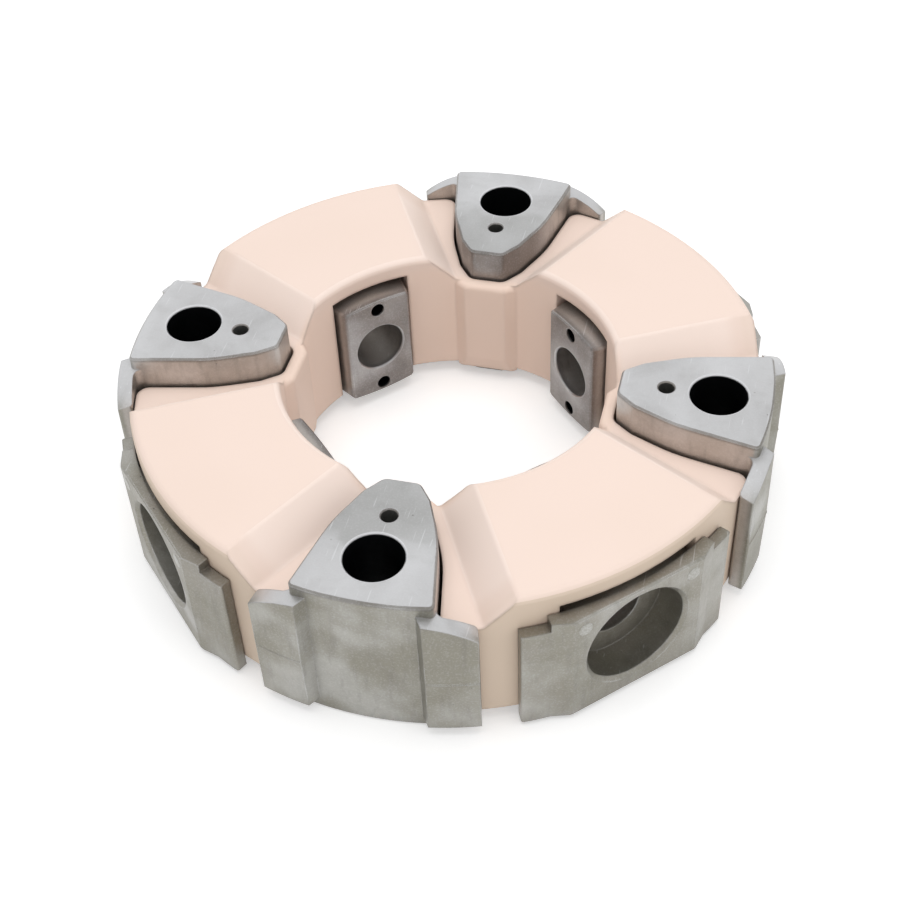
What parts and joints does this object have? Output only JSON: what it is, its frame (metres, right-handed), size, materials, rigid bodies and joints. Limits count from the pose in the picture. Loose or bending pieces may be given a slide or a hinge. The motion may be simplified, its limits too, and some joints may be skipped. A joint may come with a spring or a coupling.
{
  "type": "flexible pump coupling",
  "caption": "Flexible shaft coupling: a moulded elastomer ring with wedge-shaped cast inserts bored along the shaft, and flat-faced radial inserts bored towards the hub.",
  "frame": {"origin": "on the ring's axis, in the plane of the axial inserts' undersides", "axes": "+Z along the shaft axis, towards the relieved upper face; +X through an axial insert's bore"},
  "size_m": [0.2118, 0.2118, 0.054],
  "materials": {
    "elastomer": "satin moulded",
    "cast_aluminium": "as cast"
  },
  "bodies": {
    "root": {"ring": "elastomer", "axial_insert_1": "cast_aluminium", "axial_insert_2": "cast_aluminium", "axial_insert_3": "cast_aluminium", "axial_insert_4": "cast_aluminium", "radial_insert_1": "cast_aluminium", "radial_insert_2": "cast_aluminium", "radial_insert_3": "cast_aluminium", "radial_insert_4": "cast_aluminium"}
  },
  "joints": []
}
